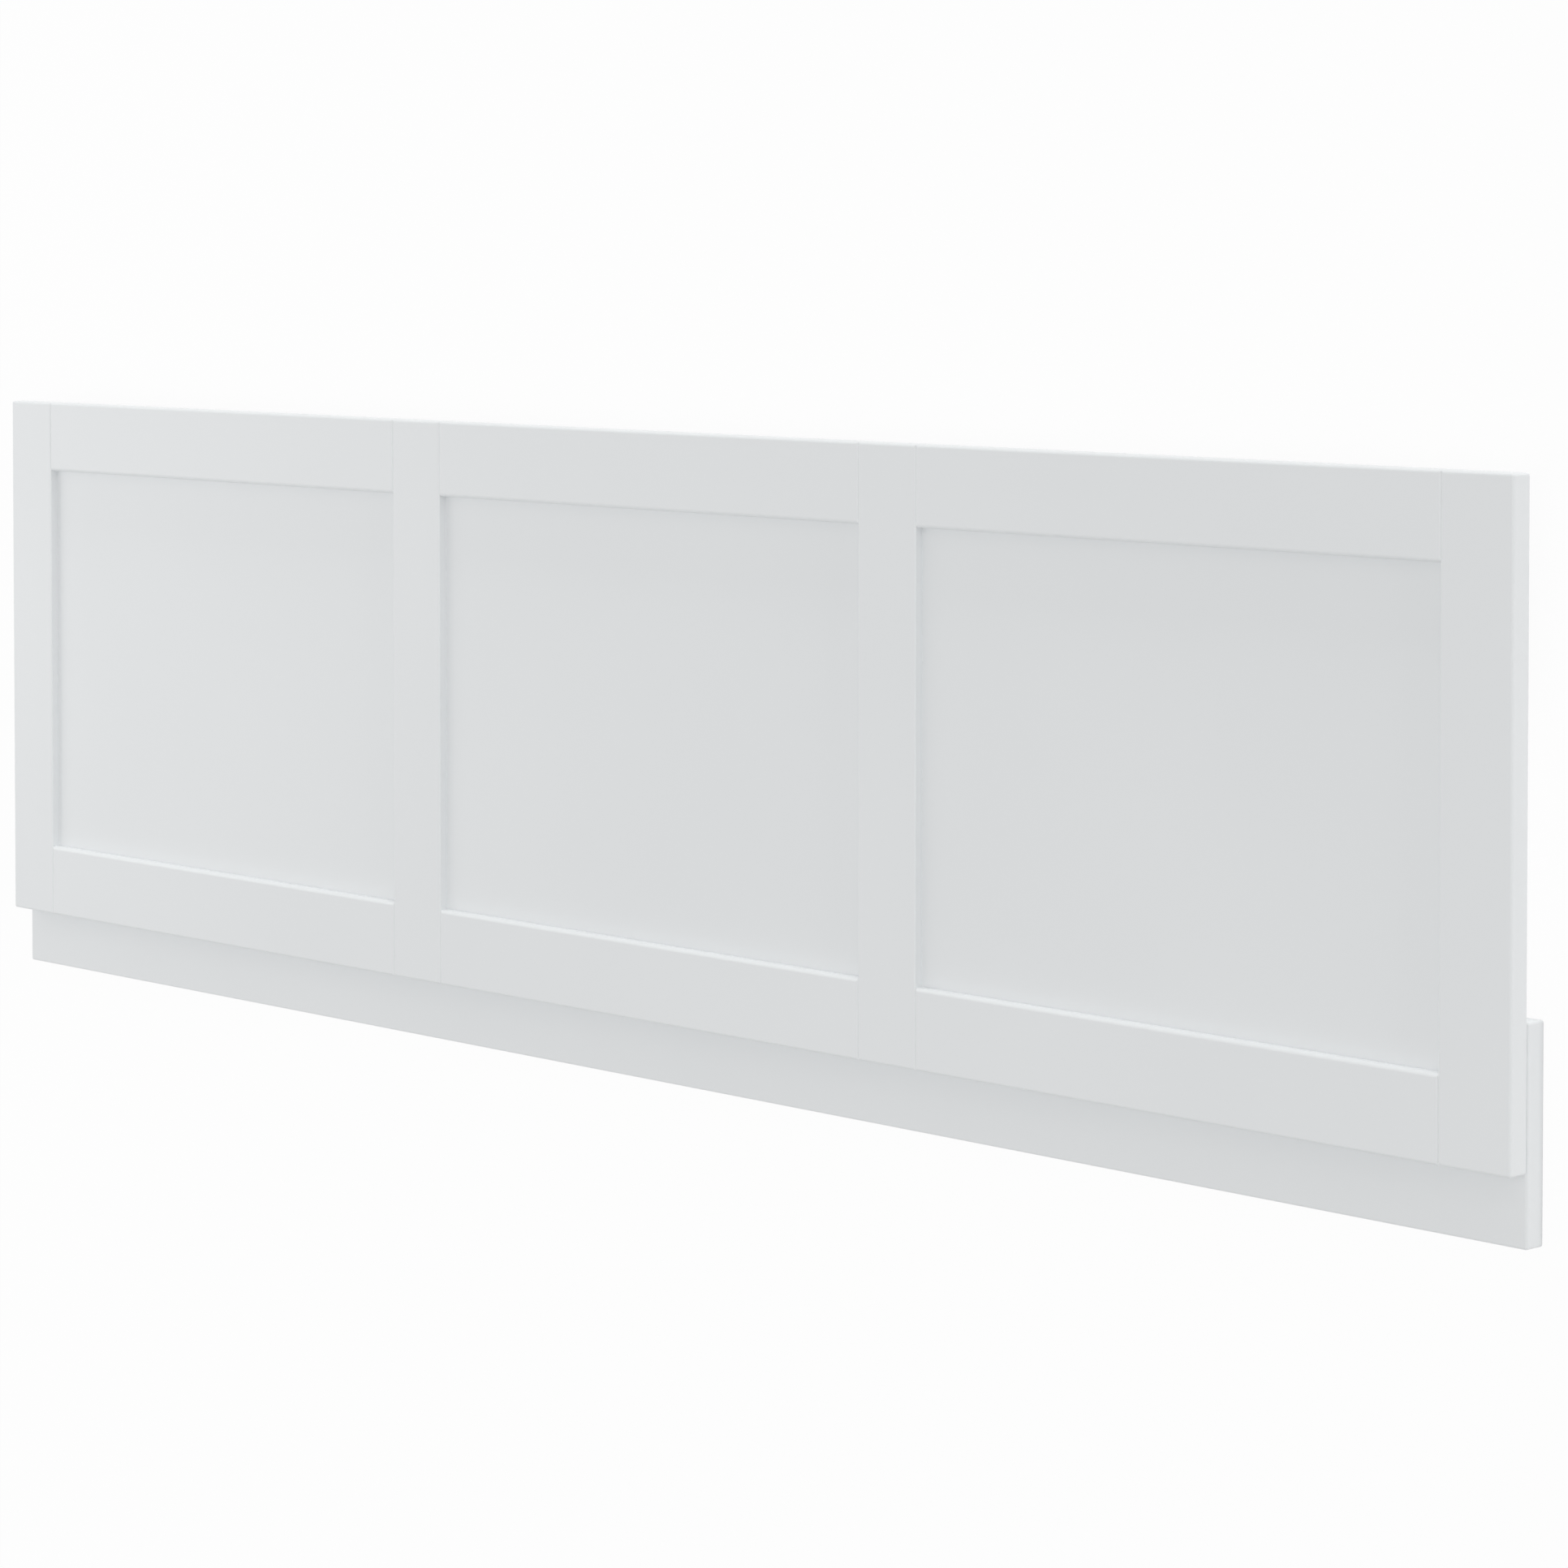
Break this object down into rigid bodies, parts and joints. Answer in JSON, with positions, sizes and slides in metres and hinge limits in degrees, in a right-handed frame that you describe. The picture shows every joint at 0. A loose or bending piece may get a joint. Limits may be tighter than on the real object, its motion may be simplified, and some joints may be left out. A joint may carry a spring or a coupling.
{
  "type": "bath panel",
  "caption": "Long framed bath front panel with flat panels recessed between stiles and rails, and a plain plinth board set back behind its lower edge.",
  "frame": {"origin": "centre of the panel's length and height, on the plane of the plinth's back face that it lies on", "axes": "+X along the length to the right as seen from the front, +Y from the floor edge to the top edge, +Z out of the front face; the panel lies on its back with its front face up"},
  "size_m": [1.7, 0.51, 0.036],
  "materials": {
    "frame_foil": "smooth satin white foil on fibreboard",
    "infill_foil": "smooth satin white foil on thin fibreboard",
    "plinth_foil": "smooth satin white foil on fibreboard"
  },
  "bodies": {
    "root": {"end_stile_left": "frame_foil", "mid_stile_left": "frame_foil", "mid_stile_right": "frame_foil", "end_stile_right": "frame_foil", "top_rail_left": "frame_foil", "bottom_rail_left": "frame_foil", "infill_panel_left": "infill_foil", "top_rail_middle": "frame_foil", "bottom_rail_middle": "frame_foil", "infill_panel_middle": "infill_foil", "top_rail_right": "frame_foil", "bottom_rail_right": "frame_foil", "infill_panel_right": "infill_foil", "plinth": "plinth_foil"}
  },
  "joints": []
}
